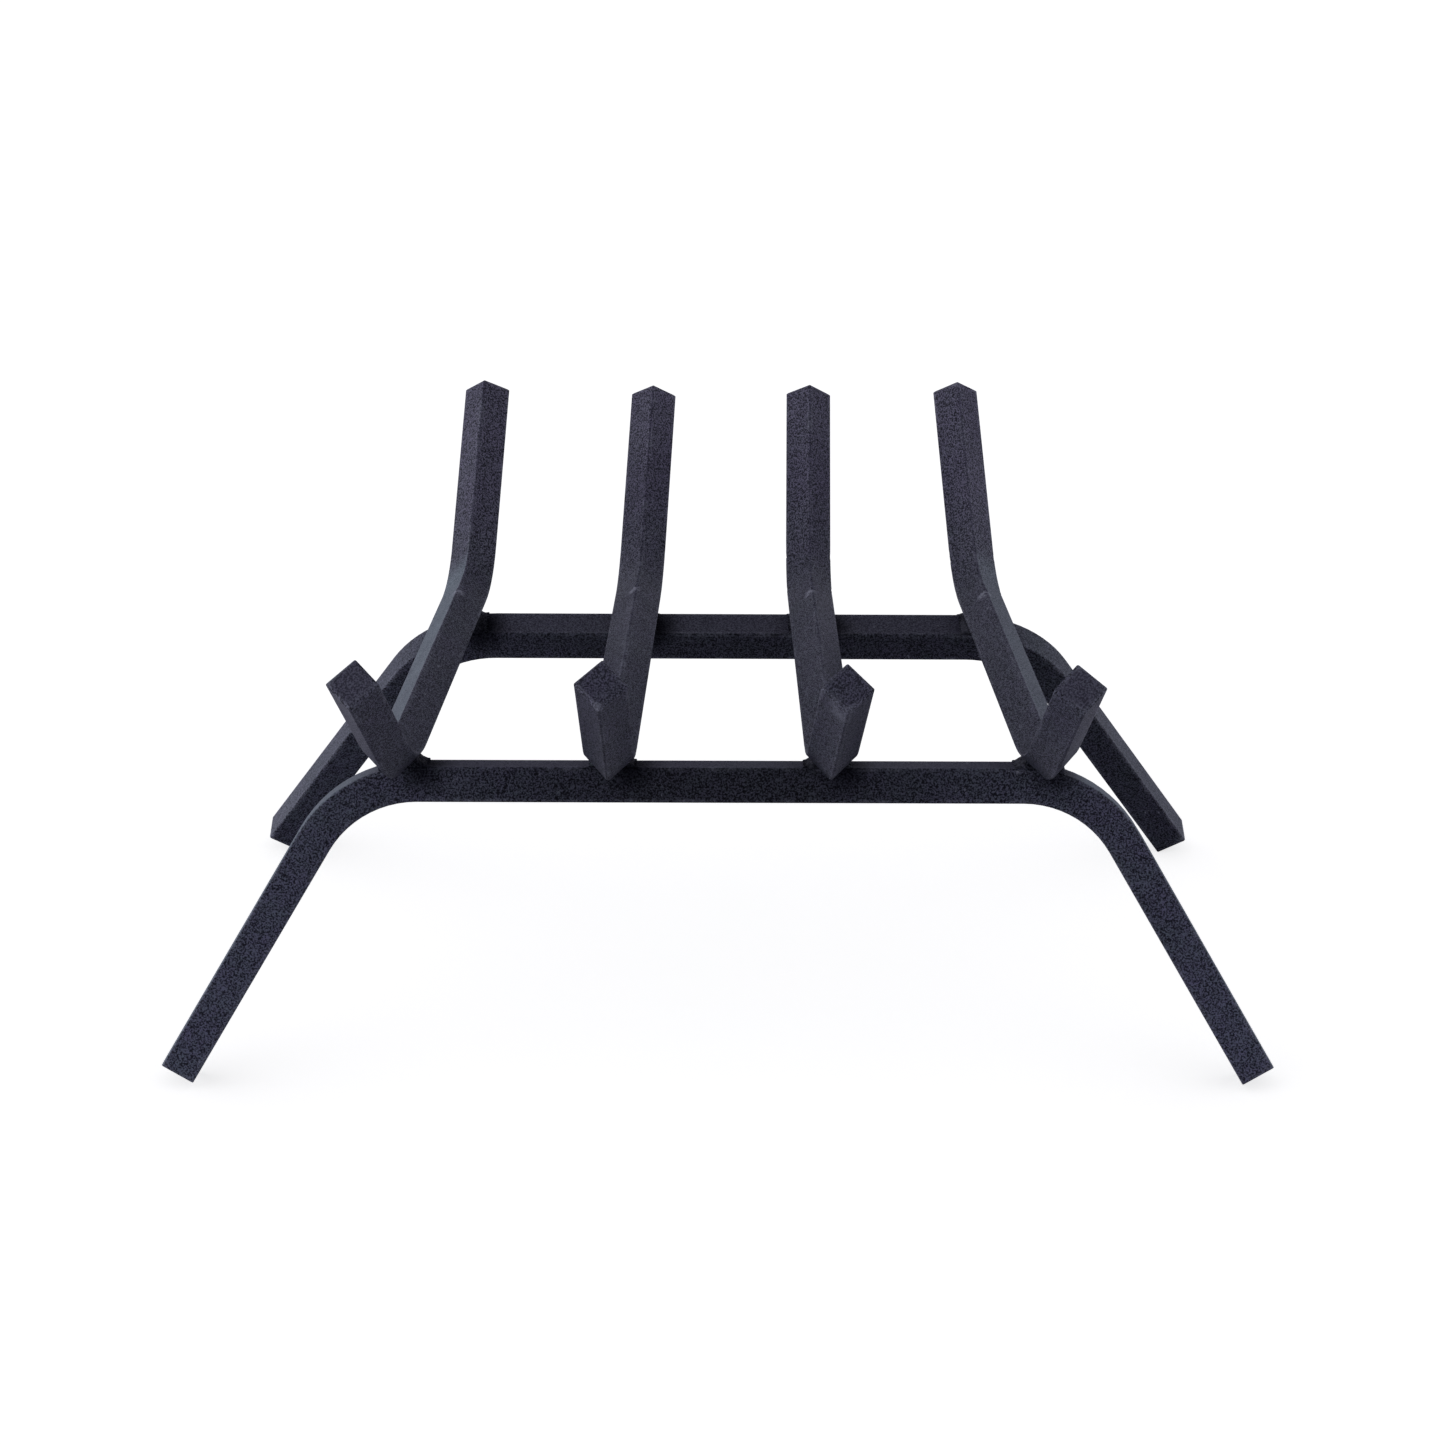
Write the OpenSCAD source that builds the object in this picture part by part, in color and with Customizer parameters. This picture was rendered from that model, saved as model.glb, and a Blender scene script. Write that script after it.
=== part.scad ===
// Fireplace log grate: four square bars set on edge and welded across two splayed leg frames.
// X runs across the hearth, +Y points to the back of the fireplace and +Z is up.
// The origin is on the hearth, under the middle of the grate's bounding box.

/* [Bar stock] */
// Width across the flats of the square bar
bar_w = 15.875; // [12:0.125:19]
// Radius of the bar's rolled corners
corner_r = 1; // [0.5:0.1:2.5]

/* [Rails] */
// Height above the hearth of the two rail edges that carry the log bars
seat_h = 142; // [120:1:170]
// Distance between the middle of the front rail and the middle of the rear rail
rail_gap = 153.5; // [130:0.5:190]
// Radius of the bends between rail and leg, at the middle of the bar
frame_bend_r = 52.5; // [35:0.5:60]

/* [Front leg frame] */
// Straight length of the front rail
front_rail = 264; // [250:1:320]
// Slope of the front legs, measured in the plane of their frame
front_splay = 59.5; // [50:0.5:70]
// How far the front frame leans back from upright, feet forward
front_lean = 15; // [5:0.5:25]

/* [Rear leg frame] */
// Straight length of the rear rail
rear_rail = 225; // [210:1:300]
// Slope of the rear legs, measured in the plane of their frame
rear_splay = 57.5; // [50:0.5:70]
// How far the rear frame leans forward from upright, feet backward
rear_lean = 15.5; // [5:0.5:25]
// Sideways offset of the rear frame from the front one
rear_shift = 6; // [-10:1:10]

/* [Log bars] */
// Where each log bar crosses the front rail, from left to right
front_x = [-137.5, -47, 46.5, 138.5]; // [-145:0.5:145]
// Where each log bar crosses the rear rail, from left to right
rear_x = [-121, -39, 43.5, 125.5]; // [-145:0.5:145]
// Sideways tilt of each log bar, positive to the right
bar_tilt = [-2, 1.5, 2, -0.5]; // [-4:0.5:4]
// Straight length of each upturned front tip
tip_len = [70.5, 75, 70.5, 67.5]; // [50:0.5:100]
// Angle of the front tip above level
tip_angle = 47; // [30:1:60]
// Radius of the bend below each front tip, at the middle of the bar
tip_bend_r = [44, 34, 34, 44]; // [15:0.5:50]
// Straight run of each log bar in front of the middle of the front rail
front_run = [2, 5.5, 4, 1]; // [0:0.5:30]
// Where each wide rear bend begins, measured behind the middle of the rear rail
rear_run = [-1, 4, 1.5, -0.5]; // [-4:0.5:30]
// Radius of the wide rear bend, at the middle of the bar
rear_bend_r = 47.5; // [25:0.5:80]
// Straight length of the tall rear part of each log bar
rear_len = [85, 80.5, 82, 85]; // [60:0.5:160]
// Angle of the rear part above level
rear_angle = 44; // [40:0.5:75]
// Bevel around both cut ends of a log bar
end_chamfer = 1; // [0.6:0.1:1.5]
// Distance from the bending press's mark to the start of the rear bend
mark_ahead = 12.5; // [5:0.5:20]
// Depth of the press mark across the bar's upper corner
mark_depth = 0.6; // [0.3:0.1:1]

/* [Welds] */
// How deep a log bar's lower corner is sunk into the rail edge that carries it
seat_bite = 0.8; // [0.3:0.1:1.5]
// How far a weld reaches along the rail from the middle of the log bar
weld_reach = 11; // [10:0.5:14]
// Height above the rail at which a weld meets the side of the log bar
weld_rise = 3.8; // [3:0.1:5]
// Radius of the weld's hollow sides
weld_hollow_r = 8; // [6:0.5:14]

/* [Hidden] */
$fn = 128;

paint = [0.19, 0.19, 0.23];
weld_paint = [0.14, 0.14, 0.17];

LEFT_OUTER = 0;
LEFT_INNER = 1;
RIGHT_INNER = 2;
RIGHT_OUTER = 3;

half = bar_w / 2;
flat = half - corner_r;
// From the middle of the bar to the tip of a rounded corner
corner_reach = flat * sqrt(2) + corner_r;

// How far the rounded square section reaches in the direction (a, b) of its flats' normals
function section_reach(a, b) = flat * (abs(a) + abs(b)) + corner_r * norm([a, b]);
// The same for a section set on edge, with (a, b) along its diagonals
function edge_reach(a, b) = flat * sqrt(2) * max(abs(a), abs(b)) + corner_r * norm([a, b]);

// Height of a rail's middle, so that the higher of its two top edges is at seat_h
function rail_z(lean) = seat_h - section_reach(cos(lean), sin(lean));
// Slope length from the rail's middle line to the middle of a foot, with the foot on the hearth
function leg_drop(splay, lean) =
    (rail_z(lean) - section_reach(cos(splay) * cos(lean), sin(lean))) / cos(lean);
// Straight length of a leg below its bend
function leg_len(splay, lean) =
    (leg_drop(splay, lean) - frame_bend_r * (1 - cos(splay))) / sin(splay);
// Half the width over the middles of a frame's two feet
function foot_x(rail, splay, lean) =
    rail / 2 + frame_bend_r * sin(splay) + leg_len(splay, lean) * cos(splay);
// Half the full width over a frame's feet
function frame_half_w(rail, splay, lean) = foot_x(rail, splay, lean) + half * sin(splay);

front_half_w = frame_half_w(front_rail, front_splay, front_lean);
rear_half_w = frame_half_w(rear_rail, rear_splay, rear_lean);

// Height of the middle of a log bar's level part above the rail edges that carry it
log_bar_rise = corner_reach - seat_bite;
// Yaw of each log bar, positive when its rear end points to the right
function fan(i) = atan((rear_x[i] - front_x[i]) / rail_gap);
// The ends of a log bar's middle line, measured backward and upward from its front crossing
function tip_end(i) = [
    -front_run[i] - tip_bend_r[i] * sin(tip_angle) - tip_len[i] * cos(tip_angle),
    tip_bend_r[i] * (1 - cos(tip_angle)) + tip_len[i] * sin(tip_angle)
];
function rear_end_y(i) =
    rail_gap + rear_run[i] + rear_bend_r * sin(rear_angle) + rear_len[i] * cos(rear_angle);
function rear_end_z(i) = rear_bend_r * (1 - cos(rear_angle)) + rear_len[i] * sin(rear_angle);

// How far from the end face the corners of a log bar have their full size
chamfer_depth = max(0, end_chamfer - corner_r * (1 - 1 / sqrt(2)));
// Front and back limits of the grate
function tip_y(i) =
    cos(fan(i)) * (tip_end(i).x + chamfer_depth * cos(tip_angle))
    - edge_reach(sin(tip_angle) * cos(fan(i)), sin(fan(i)));
function back_y(i) =
    cos(fan(i)) * (rear_end_y(i) - chamfer_depth * cos(rear_angle))
    + edge_reach(sin(rear_angle) * cos(fan(i)), sin(fan(i)));
foot_y = -leg_drop(front_splay, front_lean) * sin(front_lean)
    - section_reach(cos(front_splay) * sin(front_lean), cos(front_lean));
y_min = min(foot_y, min([for (i = [0:3]) tip_y(i)]));
y_max = max([for (i = [0:3]) back_y(i)]);
x_min = min(-front_half_w, rear_shift - rear_half_w);
x_max = max(front_half_w, rear_shift + rear_half_w);
centre = [(x_min + x_max) / 2, (y_min + y_max) / 2, 0];

// Where a weld's side starts on the rail and where it ends on the slanting side of the log bar
weld_toe = [weld_reach, 0];
weld_top = [weld_rise + seat_bite + half * sqrt(2) - corner_reach, weld_rise];
// Middle of the circle that hollows the side out between these two points
weld_chord = norm(weld_toe - weld_top);
weld_normal = [weld_rise, weld_toe.x - weld_top.x] / weld_chord;
weld_hollow = (weld_toe + weld_top) / 2
    + weld_normal * sqrt(weld_hollow_r * weld_hollow_r - weld_chord * weld_chord / 4);
// Room below the top face, so that a weld also follows a rail into its bend
weld_below = 4;
// How much slimmer a bend is than a straight on each side, and how far it reaches into the straight
bend_slim = 0.01;
bend_lap = 0.2;
// Radius of the press tool that left the marks
mark_r = 6;

// ---- bent square bar ----

// Section of the bar, with rolled corners. It can be drawn a little slimmer all round.
module bar_section(slim = 0) {
    width = bar_w - 2 * slim;
    square([2 * flat, width], center = true);
    square([width, 2 * flat], center = true);
    for (x = [-flat, flat], y = [-flat, flat]) translate([x, y]) circle(corner_r - slim);
}

// A bar that starts at the origin along +X. Each step is [straight length, bend angle, bend radius]:
// the bar turns towards +Y after the straight, and the next step goes on from there.
// A bend is a touch slimmer than the straights and laps into both, so that they join into one solid.
module bent_bar(steps, on_edge = false, i = 0) {
    straight = steps[i][0];
    angle = steps[i][1];
    radius = steps[i][2];
    roll = on_edge ? 45 : 0;
    rotate([90, 0, 90]) linear_extrude(straight) rotate(roll) bar_section();
    if (angle > 0) translate([straight, radius, 0]) {
        lap_angle = bend_lap / radius * 180 / PI;
        rotate(-90 - lap_angle) rotate_extrude(angle = angle + 2 * lap_angle)
            translate([radius, 0]) rotate(roll) bar_section(bend_slim);
        rotate(angle) translate([0, -radius, 0]) bent_bar(steps, on_edge, i + 1);
    }
}

// ---- leg frames ----

// An arch in the XY plane, with the middle of its rail at the origin and its feet towards -Y
module arch(rail, splay, lean) {
    leg = leg_len(splay, lean);
    translate([foot_x(rail, splay, lean), -leg_drop(splay, lean), 0]) rotate(180 - splay)
        bent_bar([[leg, splay, frame_bend_r], [rail, splay, frame_bend_r], [leg, 0, 0]]);
}

// Puts the children in the plane of a frame: +X along the rail, +Y up the frame, +Z to its front
module at_front_rail() {
    translate([0, 0, rail_z(front_lean)]) rotate([90 - front_lean, 0, 0]) children();
}

module at_rear_rail() {
    translate([rear_shift, rail_gap, rail_z(rear_lean)]) rotate([90 + rear_lean, 0, 0]) children();
}

module front_leg_frame() {
    color(paint) at_front_rail() arch(front_rail, front_splay, front_lean);
}

module rear_leg_frame() {
    color(paint) at_rear_rail() arch(rear_rail, rear_splay, rear_lean);
}

// ---- log bars ----

// Puts the children in the plane of a log bar: +X backward and +Y upward from its front crossing
module at_log_bar(i) {
    translate([front_x[i], 0, seat_h]) rotate(-fan(i)) rotate([90, 0, 90])
        rotate([bar_tilt[i], 0, 0]) translate([0, log_bar_rise, 0]) children();
}

// Four square prisms that bevel the edges of an end face at the origin
module chamfer_cutter() {
    for (side = [0:3]) rotate([45 + 90 * side, 0, 0]) translate([0, half, 0])
        rotate(45) cube([end_chamfer * sqrt(2), end_chamfer * sqrt(2), bar_w], center = true);
}

module log_bar_blank(i) {
    at_log_bar(i) difference() {
        translate(tip_end(i)) rotate(-tip_angle) bent_bar([
            [tip_len[i], tip_angle, tip_bend_r[i]],
            [front_run[i] + rail_gap + rear_run[i], rear_angle, rear_bend_r],
            [rear_len[i], 0, 0]
        ], on_edge = true);
        translate(tip_end(i)) rotate(-tip_angle) chamfer_cutter();
        translate([rear_end_y(i), rear_end_z(i)]) rotate(rear_angle) chamfer_cutter();
    }
}

// The cut that the press left across the upper corner of a log bar
module press_mark(i) {
    at_log_bar(i)
        translate([rail_gap + rear_run[i] - mark_ahead, corner_reach + mark_r - mark_depth])
            cylinder(r = mark_r, h = bar_w, center = true);
}

// A log bar with its press mark, and a notch where its lower corner is sunk into each rail
module log_bar(i) {
    color(paint) difference() {
        log_bar_blank(i);
        press_mark(i);
        front_leg_frame();
        rear_leg_frame();
    }
}

// ---- welds ----

// A bead across the rail's top face with a hollow slope on both sides, centred on a crossing at x
module weld_blank(x) {
    translate([x, half, 0]) linear_extrude(2 * flat + corner_r, center = true) difference() {
        translate([-weld_reach, -weld_below]) square([2 * weld_reach, weld_below + weld_rise]);
        for (side = [-1, 1]) translate([side * weld_hollow.x, weld_hollow.y]) circle(weld_hollow_r);
    }
}

module front_weld(i) {
    color(weld_paint) difference() {
        at_front_rail() weld_blank(front_x[i]);
        log_bar_blank(i);
        front_leg_frame();
    }
}

module rear_weld(i) {
    color(weld_paint) difference() {
        at_rear_rail() weld_blank(rear_x[i] - rear_shift);
        log_bar_blank(i);
        rear_leg_frame();
    }
}

// ---- assembly ----

translate(-centre) {
    front_leg_frame();
    rear_leg_frame();
    log_bar(LEFT_OUTER);  // log_bar_left_outer
    log_bar(LEFT_INNER);  // log_bar_left_inner
    log_bar(RIGHT_INNER);  // log_bar_right_inner
    log_bar(RIGHT_OUTER);  // log_bar_right_outer
    front_weld(LEFT_OUTER);  // front_weld_left_outer
    front_weld(LEFT_INNER);  // front_weld_left_inner
    front_weld(RIGHT_INNER);  // front_weld_right_inner
    front_weld(RIGHT_OUTER);  // front_weld_right_outer
    rear_weld(LEFT_OUTER);  // rear_weld_left_outer
    rear_weld(LEFT_INNER);  // rear_weld_left_inner
    rear_weld(RIGHT_INNER);  // rear_weld_right_inner
    rear_weld(RIGHT_OUTER);  // rear_weld_right_outer
}
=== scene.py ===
"""Looks for the fireplace log grate: satin blue-black paint on bent square bar, rippled weld
beads, a camera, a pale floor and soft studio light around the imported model. Lengths in metres."""

import math

import bpy
from mathutils import Matrix, Vector


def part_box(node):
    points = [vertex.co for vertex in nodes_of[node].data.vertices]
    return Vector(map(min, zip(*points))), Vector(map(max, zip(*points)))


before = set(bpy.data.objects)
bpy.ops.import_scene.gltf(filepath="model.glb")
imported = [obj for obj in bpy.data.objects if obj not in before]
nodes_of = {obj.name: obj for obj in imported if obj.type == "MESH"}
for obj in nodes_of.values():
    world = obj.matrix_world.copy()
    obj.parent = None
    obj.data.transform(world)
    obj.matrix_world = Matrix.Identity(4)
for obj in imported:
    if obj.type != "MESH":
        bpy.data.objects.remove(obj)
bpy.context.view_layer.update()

scene = bpy.context.scene

# ---- camera ----

CAMERA_AT = Vector((-0.01181, -1.30553, 0.75771))
CAMERA_YAW = math.radians(0.814)  # to the right of +Y
CAMERA_PITCH = math.radians(26.068)  # below the horizon
CAMERA_ROLL = math.radians(0.555)
CAMERA_LENS_MM = 78.26
CAMERA_SHIFT = (-0.0077, 0.0025)


def add_camera():
    data = bpy.data.cameras.new("camera")
    data.sensor_width = 36.0
    data.lens = CAMERA_LENS_MM
    data.shift_x, data.shift_y = CAMERA_SHIFT
    camera = bpy.data.objects.new("camera", data)
    turn = (
        Matrix.Rotation(-CAMERA_YAW, 4, "Z")
        @ Matrix.Rotation(math.pi / 2 - CAMERA_PITCH, 4, "X")
        @ Matrix.Rotation(CAMERA_ROLL, 4, "Z")
    )
    camera.matrix_world = Matrix.Translation(CAMERA_AT) @ turn
    scene.collection.objects.link(camera)
    scene.camera = camera


# ---- studio ----

# Brightness of the surroundings toward each end of an axis, blended smoothly in between
SKY = {"X": (1.15, 0.75), "Y": (0.23, 0.19), "Z": (0.07, 0.305)}
SKY_TINT = (1.0, 1.0, 1.25, 1.0)
FLOOR_SIZE = 30.0
FLOOR_PAINT = (0.92, 0.92, 0.76, 1.0)
FLOOR_GLOW = 0.66


def add_floor():
    bpy.ops.mesh.primitive_plane_add(size=FLOOR_SIZE, location=(0.0, 0.0, 0.0))
    floor = bpy.context.object
    floor.name = "floor"
    material = bpy.data.materials.new("floor_white")
    material.use_nodes = True
    shader = material.node_tree.nodes["Principled BSDF"]
    shader.inputs["Base Color"].default_value = FLOOR_PAINT
    shader.inputs["Roughness"].default_value = 0.9
    shader.inputs["Emission Color"].default_value = (1.0, 1.0, 1.0, 1.0)
    shader.inputs["Emission Strength"].default_value = FLOOR_GLOW
    floor.data.materials.append(material)
    floor.visible_diffuse = False
    floor.visible_glossy = False


def maths(tree, operation, *values):
    node = tree.nodes.new("ShaderNodeMath")
    node.operation = operation
    for socket, value in zip(node.inputs, values):
        if isinstance(value, (int, float)):
            socket.default_value = value
        else:
            tree.links.new(value, socket)
    return node.outputs["Value"]


def add_sky():
    world = bpy.data.worlds.new("studio")
    scene.world = world
    world.use_nodes = True
    tree = world.node_tree
    place = tree.nodes.new("ShaderNodeTexCoord")
    axes = tree.nodes.new("ShaderNodeSeparateXYZ")
    tree.links.new(place.outputs["Generated"], axes.inputs["Vector"])
    total = None
    for axis, (low, high) in SKY.items():
        square = maths(tree, "MULTIPLY", axes.outputs[axis], axes.outputs[axis])
        positive = maths(tree, "GREATER_THAN", axes.outputs[axis], 0.0)
        level = maths(tree, "MULTIPLY_ADD", positive, high - low, low)
        share = maths(tree, "MULTIPLY", square, level)
        total = share if total is None else maths(tree, "ADD", total, share)
    background = tree.nodes["Background"]
    background.inputs["Color"].default_value = SKY_TINT
    tree.links.new(total, background.inputs["Strength"])


# ---- places on the grate ----

SIDES = ("left_outer", "left_inner", "right_inner", "right_outer")
# How far in front of its rear crossing each log bar carries its press mark, from left to right
MARKS_AHEAD = (0.0135, 0.0085, 0.011, 0.013)
MARK_LEFT = 0.0012
# From the middle of a crossing's weld up to the upper ridge of its log bar
RIDGE_RISE = 0.0205
# Height of the lowest corner of a front tip's cut end
TIP_CORNER_Z = 0.210
# Painted shadow: the dark spot at each crossing is centred to the right of it, where the bars' shadows
# fall
SHADOW_DRIFT = Vector((0.0075, -0.002, -0.001))


def middle(name):
    low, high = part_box(name)
    return (Vector(low) + Vector(high)) / 2


def shadow_spots():
    return [middle(end + "_weld_" + side) + SHADOW_DRIFT for end in ("front", "rear") for side in SIDES]


def press_marks():
    for side, ahead in zip(SIDES, MARKS_AHEAD):
        front = middle("front_weld_" + side)
        rear = middle("rear_weld_" + side)
        forward = (front - rear).normalized()
        yield rear + forward * ahead + Vector((-MARK_LEFT, 0.0, RIDGE_RISE))


def tip_point(side, across, behind, under):
    """A place by the lowest corner of a front tip's cut end, to the right of, behind and under it."""
    low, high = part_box("log_bar_" + side)
    return Vector((middle("front_weld_" + side).x + across, low[1] + behind, TIP_CORNER_Z - under))


# ---- materials ----


class Shading:
    """A procedural material under construction, with short calls for its nodes."""

    def __init__(self, name):
        self.material = bpy.data.materials.new(name)
        self.material.use_nodes = True
        self.tree = self.material.node_tree
        self.surface = self.tree.nodes["Principled BSDF"]
        place = self.tree.nodes.new("ShaderNodeTexCoord")
        self.place = place.outputs["Object"]
        self.facing = self.split(place.outputs["Normal"])

    def split(self, vector):
        node = self.tree.nodes.new("ShaderNodeSeparateXYZ")
        self.tree.links.new(vector, node.inputs["Vector"])
        return node.outputs

    def plug(self, value, socket):
        if isinstance(value, bpy.types.NodeSocket):
            self.tree.links.new(value, socket)
        else:
            socket.default_value = value

    def noise(self, scale, detail=2.0, rough=0.5, distort=0.0):
        """Cloudy noise from 0 to 1, with about `scale` bumps to a metre."""
        node = self.tree.nodes.new("ShaderNodeTexNoise")
        node.inputs["Scale"].default_value = scale
        node.inputs["Detail"].default_value = detail
        node.inputs["Roughness"].default_value = rough
        node.inputs["Distortion"].default_value = distort
        self.plug(self.place, node.inputs["Vector"])
        return node.outputs["Fac"]

    def ramp(self, value, low, high, to_low=0.0, to_high=1.0, shape="LINEAR"):
        """Takes low..high to to_low..to_high and holds the end values beyond them."""
        node = self.tree.nodes.new("ShaderNodeMapRange")
        node.clamp = True
        node.interpolation_type = shape
        for socket, number in zip(node.inputs, (value, low, high, to_low, to_high)):
            self.plug(number, socket)
        return node.outputs["Result"]

    def maths(self, operation, *values):
        return maths(self.tree, operation, *values)

    def product(self, first, *rest):
        for value in rest:
            first = self.maths("MULTIPLY", first, value)
        return first

    def most(self, first, *rest):
        for value in rest:
            first = self.maths("MAXIMUM", first, value)
        return first

    def mix(self, share, first, second):
        node = self.tree.nodes.new("ShaderNodeMix")
        node.data_type = "RGBA"
        self.plug(share, node.inputs["Factor"])
        self.plug(first, node.inputs["A"])
        self.plug(second, node.inputs["B"])
        return node.outputs["Result"]

    def dim(self, colour, factor):
        node = self.tree.nodes.new("ShaderNodeVectorMath")
        node.operation = "SCALE"
        self.plug(colour, node.inputs[0])
        self.plug(factor, node.inputs["Scale"])
        return node.outputs["Vector"]

    def near(self, centres, full, none):
        """1 within `full` of the nearest of the centres, falling smoothly to 0 at `none`."""
        nearest = None
        for centre in centres:
            gap = self.tree.nodes.new("ShaderNodeVectorMath")
            gap.operation = "DISTANCE"
            self.plug(self.place, gap.inputs[0])
            gap.inputs[1].default_value = centre
            gap = gap.outputs["Value"]
            nearest = gap if nearest is None else self.maths("MINIMUM", nearest, gap)
        return self.ramp(nearest, full, none, 1.0, 0.0, "SMOOTHSTEP")

    def edges(self, reach):
        """Towards 1 along outer edges, where the metal below the surface is thin."""
        node = self.tree.nodes.new("ShaderNodeAmbientOcclusion")
        node.inside = True
        node.only_local = True
        node.samples = 8
        node.inputs["Distance"].default_value = reach
        return self.maths("SUBTRACT", 1.0, node.outputs["AO"])

    def bump(self, height, distance, normal=None):
        node = self.tree.nodes.new("ShaderNodeBump")
        node.inputs["Distance"].default_value = distance
        node.inputs["Strength"].default_value = 1.0
        self.plug(height, node.inputs["Height"])
        if normal is not None:
            self.plug(normal, node.inputs["Normal"])
        return node.outputs["Normal"]


# Colours of the paint's dark grain, its film and the two tints in it
DARK = (0.003, 0.003, 0.006, 1.0)
PAINT = (0.046, 0.042, 0.078, 1.0)
VIOLET = (0.058, 0.040, 0.098, 1.0)
COOL = (0.038, 0.051, 0.063, 1.0)
# Colours of painted shade, of faces painted paler by painted light, of painted highlights, and of worn
# spots, which also serve for the painted highlights at the press marks
SHADE_COLOUR = (0.001, 0.001, 0.003, 1.0)
LIT_FACE = (0.075, 0.072, 0.092, 1.0)
HIGHLIGHT_PAINT = (0.163, 0.207, 0.207, 1.0)
WORN_AND_LIT = (0.30, 0.31, 0.33, 1.0)

# Noise scales, in bumps to a metre
CLOUDS = 22.0
PATCHES = 60.0
CHIPS = 75.0
WAVES = 90.0
SCUFFS = 160.0
PITS = 430.0
SPECKLE = 1350.0

# How far from an edge its wear reaches
RIM = 0.004
# Heights of the uneven film
WAVE_HEIGHT = 0.00025
PIT_HEIGHT = 0.00012
GRAIN_HEIGHT = 0.00010


class GratePaint(Shading):
    """Grained satin paint, with masks for the places on the grate where it differs, painted light and
    shade among them.
    """

    def __init__(self, name):
        super().__init__(name)
        self.at = self.split(self.place)
        self.off_middle = self.maths("ABSOLUTE", self.at["X"])
        # How far a surface faces away from the middle of the grate
        self.turned_out = self.product(self.facing["X"], self.maths("SIGN", self.at["X"]))
        self.patches = self.noise(PATCHES, 4.0, 0.65, 0.3)
        self.speckle = self.noise(SPECKLE, 2.0, 0.6)
        self.pits = self.noise(PITS, 3.0, 0.7)
        self.grain = self.ramp(self.speckle, 0.42, 0.60)
        self.shine = self.ramp(self.grain, 0.0, 1.0, 0.12, 0.94)
        self.rim = self.edges(RIM)
        blotches = self.ramp(self.patches, 0.35, 0.65, 0.0, 0.6)
        spots = self.ramp(self.pits, 0.4, 0.6, 0.0, 0.4)
        self.tint = self.maths("ADD", blotches, spots)
        self.film = self.mix(self.tint, PAINT, COOL)

    def grained(self, film):
        return self.mix(self.grain, DARK, film)

    def violet_ends(self):
        """The film on log bars, turning violet on their raised ends, most of all at the back."""
        raised = self.ramp(self.at["Z"], 0.155, 0.190, 0.0, 0.8)
        behind = self.ramp(self.at["Y"], 0.0, 0.08, 0.3, 1.0)
        share = self.product(raised, behind, self.ramp(self.tint, 0.0, 1.0, 1.0, 0.5))
        return self.mix(share, self.film, VIOLET)

    def across(self):
        """1 where a log bar's surface faces neither left nor right: on its cut ends and ridges."""
        return self.ramp(self.maths("ABSOLUTE", self.facing["X"]), 0.15, 0.45, 1.0, 0.0)

    def outer_bar_highlights(self):
        """Painted highlight on the upper outer faces of the level parts of the two outer log bars,
        stronger on the left.
        """
        outward = self.ramp(self.turned_out, 0.45, 0.7)
        upward = self.ramp(self.facing["Z"], 0.56, 0.66)
        outer = self.ramp(self.off_middle, 0.100, 0.112)
        left_more = self.ramp(self.at["X"], -0.1, 0.1, 1.0, 0.52)
        fine = self.ramp(self.speckle, 0.38, 0.60, 0.55, 1.0)
        broad = self.ramp(self.patches, 0.35, 0.60, 0.75, 1.05)
        return self.product(outward, upward, outer, left_more, fine, broad)

    def frame_light_and_shade(self):
        """Painted light and shade on a leg frame: darkest in the middle of the rail, palest at the feet,
        and on the rear frame paler to the left.
        """
        front = self.ramp(self.off_middle, 0.04, 0.23, 0.55, 1.95)
        rear = self.ramp(self.at["X"], -0.2, 0.0, 1.2, 0.75)
        share = self.ramp(self.at["Y"], -0.05, 0.05)
        front = self.product(front, self.maths("SUBTRACT", 1.0, share))
        return self.maths("MULTIPLY_ADD", rear, share, front)

    def front_to_rear(self, front, rear):
        return self.ramp(self.at["Y"], -0.06, 0.06, front, rear)

    def top_highlights(self):
        """Painted light: a leg frame's top faces painted paler, more on the front frame."""
        return self.product(self.ramp(self.facing["Z"], 0.80, 0.96), self.front_to_rear(0.62, 0.36))

    def shoulder_highlights(self):
        """Painted highlight along the upper outer sides of a leg frame, stronger on the front frame."""
        slant = self.product(self.turned_out, self.ramp(self.facing["Z"], 0.3, 0.45))
        return self.product(self.ramp(slant, 0.2, 0.5), self.front_to_rear(0.69, 0.135))

    def wear(self):
        """Chips along the edges and a few scuffs on the faces."""
        chips = self.ramp(self.noise(CHIPS, 5.0, 0.8), 0.46, 0.62)
        scuffs = self.ramp(self.noise(SCUFFS, 5.0, 0.75, 0.4), 0.66, 0.72)
        return self.most(self.product(self.ramp(self.rim, 0.22, 0.5), chips), scuffs)

    def marks(self):
        """Painted highlights at the press marks, and pale spots at the front tips of the two inner log
        bars.
        """
        press_highlight = self.product(self.near(press_marks(), 0.0015, 0.0045), self.ramp(self.pits, 0.40, 0.50))
        face = self.near([tip_point("right_inner", -0.001, 0.006, 0.006)], 0.001, 0.011)
        face = self.product(face, self.ramp(self.patches, 0.40, 0.58, 0.1, 0.5))
        corners = [
            tip_point("left_inner", -0.007, 0.004, -0.003),
            tip_point("right_inner", -0.010, 0.012, 0.0),
        ]
        corners = self.product(self.near(corners, 0.003, 0.009), self.ramp(self.rim, 0.25, 0.40))
        return self.most(press_highlight, face, corners)

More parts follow.
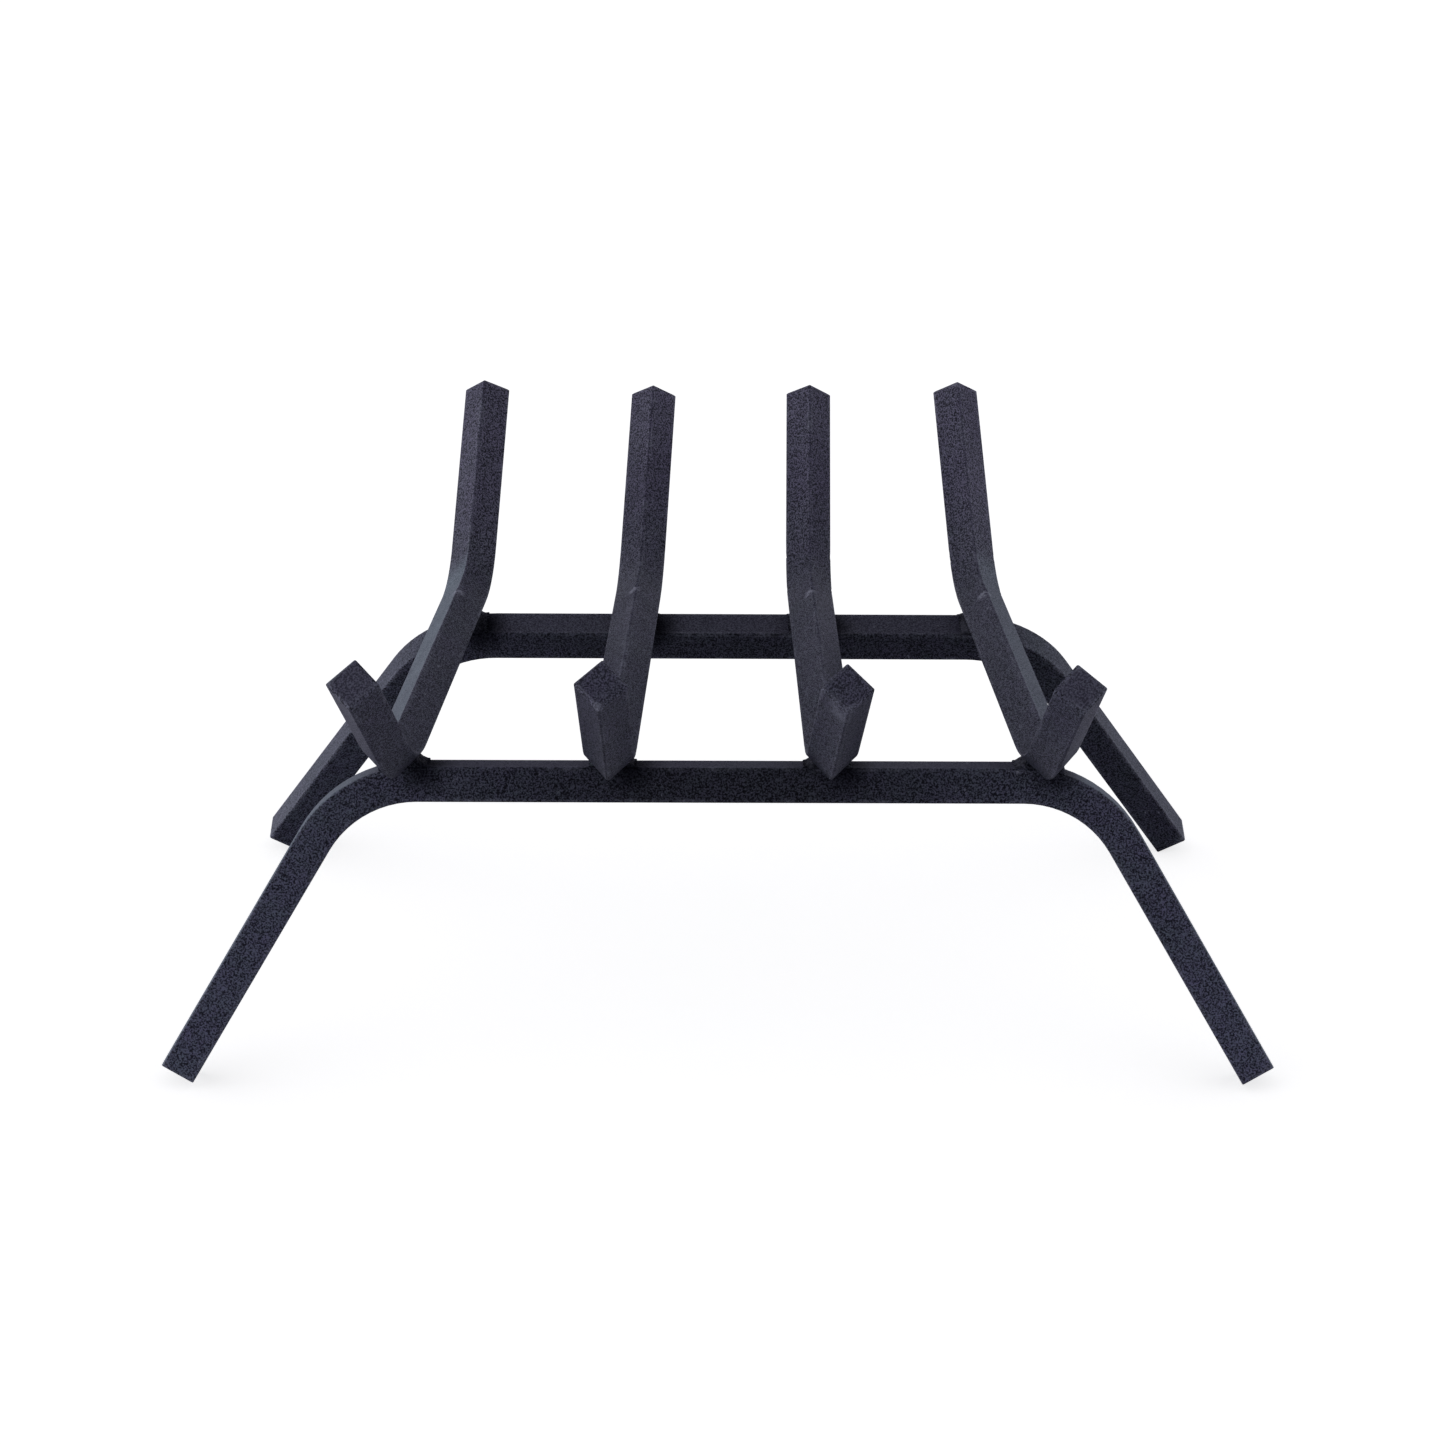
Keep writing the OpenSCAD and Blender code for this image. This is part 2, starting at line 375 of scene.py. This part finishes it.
    def finish(self, colour, wear, shine):
        """Plugs the built-up layers and the uneven film into the surface."""
        # Worn places turn pale; on the log bars this also paints the highlights at the press marks
        colour = self.mix(self.product(wear, 0.6), colour, WORN_AND_LIT)
        self.plug(colour, self.surface.inputs["Base Color"])
        rough = self.ramp(self.noise(CLOUDS, 3.0, 0.6), 0.3, 0.7, 0.38, 0.52)
        rough = self.maths("ADD", rough, self.ramp(self.speckle, 0.3, 0.7, 0.06, -0.06))
        rough = self.maths("SUBTRACT", rough, self.product(wear, 0.08))
        self.plug(rough, self.surface.inputs["Roughness"])
        self.plug(shine, self.surface.inputs["Specular IOR Level"])
        waves = self.bump(self.noise(WAVES), WAVE_HEIGHT)
        pitted = self.bump(self.pits, PIT_HEIGHT, waves)
        self.plug(self.bump(self.speckle, GRAIN_HEIGHT, pitted), self.surface.inputs["Normal"])
        return self.material


def log_bar_paint(name):
    make = GratePaint(name)
    level_darker = make.ramp(make.at["Z"], 0.150, 0.175, 0.86, 1.0)
    colour = make.dim(make.grained(make.violet_ends()), level_darker)
    # Painted light: the cut ends and ridges of the log bars paler, more on the two outer bars
    end_light = make.ramp(make.off_middle, 0.06, 0.10, 0.18, 0.42)
    colour = make.mix(make.product(make.across(), end_light), colour, LIT_FACE)
    # Painted highlight on the upper outer faces of the two outer log bars
    colour = make.mix(make.outer_bar_highlights(), colour, HIGHLIGHT_PAINT)
    # The wear here also carries the painted highlights at the press marks
    return make.finish(colour, make.most(make.wear(), make.marks()), make.shine)


def leg_frame_paint(name, least_shade):
    """Paint for frames and welds, with painted shadow by the crossings. The last argument is how much of
    that painted shade even the most open place gets, from 0 to 1.
    """
    make = GratePaint(name)
    # Painted light and shade: the frame darker in the middle of the rail and paler toward the feet
    frame_lightness = make.frame_light_and_shade()
    colour = make.dim(make.grained(make.film), frame_lightness)
    # Painted light: the frame's top faces paler
    colour = make.mix(make.top_highlights(), colour, LIT_FACE)
    # Painted highlight along the frame's upper outer sides
    colour = make.mix(make.shoulder_highlights(), colour, HIGHLIGHT_PAINT)
    # Painted shadow: near-black by each crossing, and at least the given share everywhere; wear and shine
    # fade out in it
    painted_shade = make.most(make.near(shadow_spots(), 0.004, 0.017), least_shade)
    colour = make.mix(make.product(painted_shade, 0.9), colour, SHADE_COLOUR)
    wear = make.product(make.wear(), make.maths("SUBTRACT", 1.0, painted_shade))
    # The shine follows the painted light, stronger where the frame is painted paler
    shine = make.product(make.shine, make.ramp(frame_lightness, 0.6, 2.0, 0.65, 1.55))
    shine = make.maths("MINIMUM", shine, 1.0)
    shine = make.product(shine, make.ramp(painted_shade, 0.0, 1.0, 1.0, 0.15))
    return make.finish(colour, wear, shine)


# ---- weld beads ----

BEAD_VOXEL = 0.0005
BEAD_ROUNDING = 30
RIPPLE_SIZE = 0.0035
RIPPLE_HEIGHT = 0.0012


def ripple_texture():
    ripple = bpy.data.textures.new("weld_ripple", "CLOUDS")
    ripple.noise_scale = RIPPLE_SIZE
    ripple.noise_depth = 1
    return ripple


def round_bead(node, ripple):
    """Softens a weld's edges and gives it a rippled skin."""
    skin = node.modifiers.new("skin", "REMESH")
    skin.mode = "VOXEL"
    skin.voxel_size = BEAD_VOXEL
    skin.use_smooth_shade = True
    flow = node.modifiers.new("flow", "SMOOTH")
    flow.factor = 0.5
    flow.iterations = BEAD_ROUNDING
    waves = node.modifiers.new("waves", "DISPLACE")
    waves.texture = ripple
    waves.texture_coords = "LOCAL"
    waves.strength = RIPPLE_HEIGHT
    waves.mid_level = 0.0


# ---- scene ----

add_camera()
add_floor()
add_sky()
scene.view_settings.view_transform = "Standard"
scene.view_settings.look = "None"

# The paint of each kind of piece, by the word that its node's name holds
paints = {
    "frame": leg_frame_paint("frame_paint_satin", least_shade=0.0),
    "log": log_bar_paint("log_bar_paint_satin"),
    # Painted shade: the welds are darkened all over, as they lie in the shadow of the bars
    "weld": leg_frame_paint("weld_paint_shaded", least_shade=0.75),
}
ripple = ripple_texture()
for name, node in nodes_of.items():
    kind = next(word for word in paints if word in name)
    for slot in node.material_slots:
        slot.material = paints[kind]
    if kind == "weld":
        round_bead(node, ripple)
